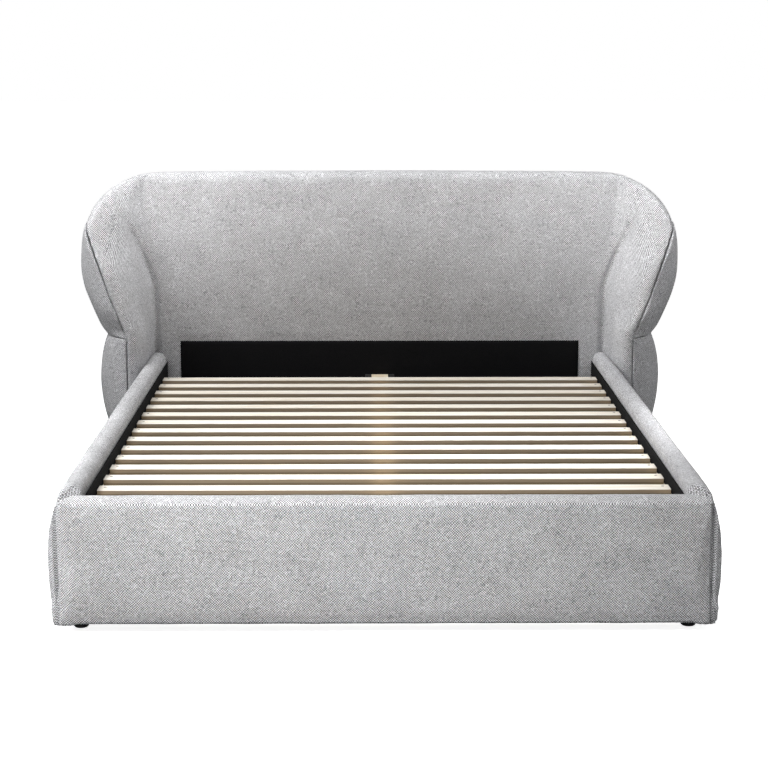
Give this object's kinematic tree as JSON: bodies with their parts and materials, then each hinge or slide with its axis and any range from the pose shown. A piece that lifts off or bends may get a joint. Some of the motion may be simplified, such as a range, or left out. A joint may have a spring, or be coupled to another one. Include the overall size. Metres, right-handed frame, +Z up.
{
  "type": "upholstered wing-back bed",
  "caption": "Upholstered double bed with padded rails, a low padded foot and a tall headboard whose side wings curl forwards, on a fixed slatted base without a mattress.",
  "frame": {"origin": "on the floor, under the middle of the bed's outline", "axes": "+Z up, +Y from the foot towards the headboard, +X to the right for someone looking from the foot"},
  "size_m": [2.1242, 2.2213, 1.028],
  "materials": {
    "grey_fabric": "woven pale grey heather",
    "black_lining": "matt non-woven",
    "pale_pine": "planed, unvarnished",
    "plywood": "raw",
    "frame_timber": "raw",
    "black_steel": "powder coat",
    "zinc_steel": "zinc plated",
    "black_plastic": "moulded"
  },
  "bodies": {
    "bed": {"beam_hangers": "black_steel", "centre_beam": "pale_pine", "centre_leg_1": "pale_pine", "centre_leg_2": "pale_pine", "foot_bracket_left": "black_steel", "foot_bracket_right": "black_steel", "foot_rail_board": "plywood", "foot_rail_lining": "black_lining", "foot_rail_pad": "grey_fabric", "frame_bolts": "zinc_steel", "glide_feet": "black_plastic", "head_bracket_left": "black_steel", "head_bracket_right": "black_steel", "headboard_back_cover": "grey_fabric", "headboard_bottom_rail": "frame_timber", "headboard_cushion": "grey_fabric", "headboard_front_board": "plywood", "headboard_lining": "black_lining", "headboard_middle_rail": "frame_timber", "headboard_side_plank_left": "frame_timber", "headboard_side_plank_right": "frame_timber", "headboard_top_rail": "frame_timber", "side_rail_board_left": "plywood", "side_rail_board_right": "plywood", "side_rail_lining_left": "black_lining", "side_rail_lining_right": "black_lining", "side_rail_pad_left": "grey_fabric", "side_rail_pad_right": "grey_fabric", "slat_01": "pale_pine", "slat_02": "pale_pine", "slat_03": "pale_pine", "slat_04": "pale_pine", "slat_05": "pale_pine", "slat_06": "pale_pine", "slat_07": "pale_pine", "slat_08": "pale_pine", "slat_09": "pale_pine", "slat_10": "pale_pine", "slat_11": "pale_pine", "slat_12": "pale_pine", "slat_13": "pale_pine", "slat_14": "pale_pine", "slat_15": "pale_pine", "slat_ledge_left": "pale_pine", "slat_ledge_right": "pale_pine", "slat_screws": "zinc_steel", "wing_cushion_left": "grey_fabric", "wing_cushion_right": "grey_fabric", "wing_lower_board_left": "plywood", "wing_lower_board_right": "plywood", "wing_lower_pad_left": "grey_fabric", "wing_lower_pad_right": "grey_fabric", "wing_upper_board_left": "plywood", "wing_upper_board_right": "plywood", "wing_upper_pad_left": "grey_fabric", "wing_upper_pad_right": "grey_fabric"},
    "leveller_base_1": {"leveller_pad_1": "black_plastic"},
    "leveller_screw_1": {"leveller_stem_1": "zinc_steel"},
    "leveller_base_2": {"leveller_pad_2": "black_plastic"},
    "leveller_screw_2": {"leveller_stem_2": "zinc_steel"}
  },
  "joints": [
    {"name": "leveller_height_1", "type": "slide", "parent": "bed", "child": "leveller_base_1", "axis": [0, 0, 1], "range_m": [-0.006, 0.012]},
    {"name": "leveller_turn_1", "type": "hinge", "parent": "leveller_base_1", "child": "leveller_screw_1", "pos_m": [0, -0.34617, 0.01], "axis": [0, 0, 1], "range_deg": [-1740, 3470]},
    {"name": "leveller_height_2", "type": "slide", "parent": "bed", "child": "leveller_base_2", "axis": [0, 0, 1], "range_m": [-0.006, 0.012]},
    {"name": "leveller_turn_2", "type": "hinge", "parent": "leveller_base_2", "child": "leveller_screw_2", "pos_m": [0, 0.33717, 0.01], "axis": [0, 0, 1], "range_deg": [-1740, 3470]}
  ],
  "couplings": [
    {"joint": "leveller_turn_1", "follows": "leveller_height_1", "rad_per_m": 5026.5},
    {"joint": "leveller_turn_2", "follows": "leveller_height_2", "rad_per_m": 5026.5}
  ]
}
